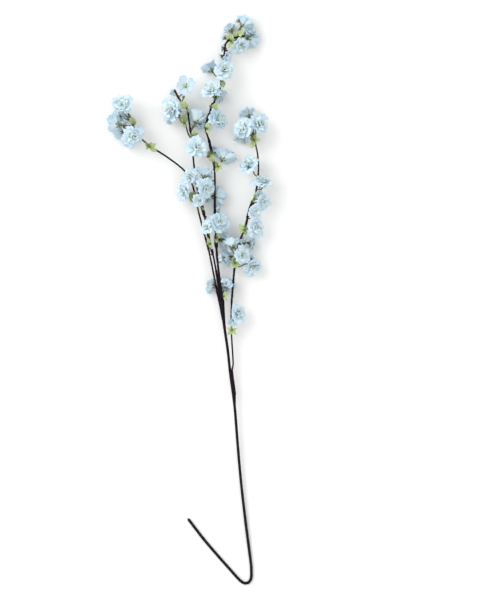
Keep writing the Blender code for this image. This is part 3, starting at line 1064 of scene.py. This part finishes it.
def foot_tape(stem, branch, look):
    """The tape round a bound foot, which fills the groove between the two wires."""
    line, radii = [], []
    for place in branch[:round((BOUND_LENGTH - BOUND_EASE) / WIRE_STEP)]:
        near = min(stem, key=lambda point: (point - place).length)
        line.append(place.lerp(near, 0.45))
        radii.append(TAPE_RADIUS)
    return wire_piece("fork", line, radii, [0.0] * len(line), look)


def build_wires(looks, lines, widths, roots):
    """The wrapped wires with their tails, the cut stubs, the tape and the core."""
    for name, line in lines.items():
        radii, tones = wire_radii(name, line, widths[name], roots)
        if name in TAILS:
            host, length, around = TAILS[name]
            points, tail_radii = tail(
                lines[host], widths[host], line[0], length, around, widths[name])
            line = points + line
            radii = tail_radii + radii
            tones = [0.0] * len(points) + tones
        piece = wire_piece(name, line, radii, tones, looks["wrap"])
        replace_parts(finish_piece(piece), name)
    for index, (wire, share, *placing) in enumerate(STUBS):
        spot = spot_on(lines[wire], share)
        piece = stub_piece(f"stub_{index + 1}", spot, *placing, looks["wrap"])
        finish_piece(piece)
    finish_piece(foot_tape(lines["main_stem"], lines["right_branch"], looks["wrap"]))
    end = lines["main_stem"][0]
    way = (end - lines["main_stem"][2]).normalized()
    core = Builder()
    core.tube([end - 2 * MM * way, end + 0.8 * CORE_LENGTH * way, end + CORE_LENGTH * way],
              [CORE_RADIUS, CORE_RADIUS, 1.1 * MM], 12)
    finish_piece(core.build("stem_core", looks["core"]))


def build_greens(looks, lines):
    """The buds, and the leaves with their stalks."""
    for index, (wire, share, *placing) in enumerate(BUDS):
        spot = spot_on(lines[wire], share)
        piece = bud_piece(f"bud_{index + 1}", spot, *placing, looks["calyx"])
        finish_piece(piece)
    for index, (name, (right, up, above, leaves)) in enumerate(SPRAYS.items()):
        middle = node_middle(name)
        heart = middle + Vector((right, up, above)) * MM
        piece = leaf_spray(name + "_spray", heart, leaves, looks["leaf"], random.Random(index))
        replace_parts(finish_piece(piece), name)
        root = middle - 2.5 * MM * UP
        finish_piece(stalk_piece(name + "_stalk", root, heart, looks["calyx"]))
    for index, (wire, share, right, leaves) in enumerate(SPRIGS):
        spot = spot_on(lines[wire], share)
        heart = spot.place + right * MM * spot.right + 2.6 * MM * UP
        name = f"sprig_{index + 1}"
        piece = leaf_spray(name, heart, leaves, looks["leaf"], random.Random(100 + index))
        finish_piece(piece)
        finish_piece(stalk_piece(name + "_stalk", spot.place, heart, looks["calyx"]))


def build_spray():
    looks = {
        "petal": petal_material(),
        "leaf": leaf_material(),
        "calyx": calyx_material(),
        "stamen": stamen_material(),
        "wrap": wrap_material(),
        "core": core_material(),
    }
    lines, widths = {}, {}
    for name in sorted(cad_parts):
        if name.endswith(("stem", "branch", "twig")):
            centres, widths[name] = wire_rings(name)
            lines[name] = catmull(centres, WIRE_STEP)
    reach = widths["main_stem"] + widths["right_branch"]
    lines["right_branch"] = bound_foot(lines["right_branch"], lines["main_stem"], reach)
    roots = build_blossoms(looks, lines)
    build_wires(looks, lines, widths, roots)
    build_greens(looks, lines)


def build_stage():
    """The table, an even white sky, and one soft lamp from the upper left."""
    bpy.ops.mesh.primitive_plane_add(size=FLOOR_SIZE)
    floor = bpy.context.object
    floor.name = "table"
    floor.data.materials.append(floor_material())
    floor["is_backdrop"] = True
    world = bpy.data.worlds.new("sky")
    bpy.context.scene.world = world
    world.use_nodes = True
    world.node_tree.nodes["Background"].inputs["Color"].default_value = (1.0, 1.0, 1.0, 1.0)
    world.node_tree.nodes["Background"].inputs["Strength"].default_value = SKY_STRENGTH
    lamp = bpy.data.lights.new("window", "SUN")
    lamp.energy = SUN_STRENGTH
    lamp.angle = radians(SUN_ANGLE)
    holder = bpy.data.objects.new("window", lamp)
    holder.rotation_euler = Vector(SUN_FROM).to_track_quat("Z", "Y").to_euler()
    bpy.context.scene.collection.objects.link(holder)


def build_camera(low, high):
    """A long lens that looks straight down, with +Y up in the picture."""
    camera = bpy.data.cameras.new("camera")
    camera.lens = LENS
    camera.sensor_width = SENSOR
    camera.clip_end = 60
    holder = bpy.data.objects.new("camera", camera)
    middle = (low + high) / 2
    distance = VIEW_HEIGHT * LENS / SENSOR
    holder.location = (middle.x + CAMERA_RIGHT, middle.y + CAMERA_UP, FOCUS_HEIGHT + distance)
    bpy.context.scene.collection.objects.link(holder)
    bpy.context.scene.camera = holder


low, high = (Vector(corner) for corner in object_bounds())
build_camera(low, high)
build_stage()
build_spray()
bpy.context.scene.view_settings.view_transform = "Standard"
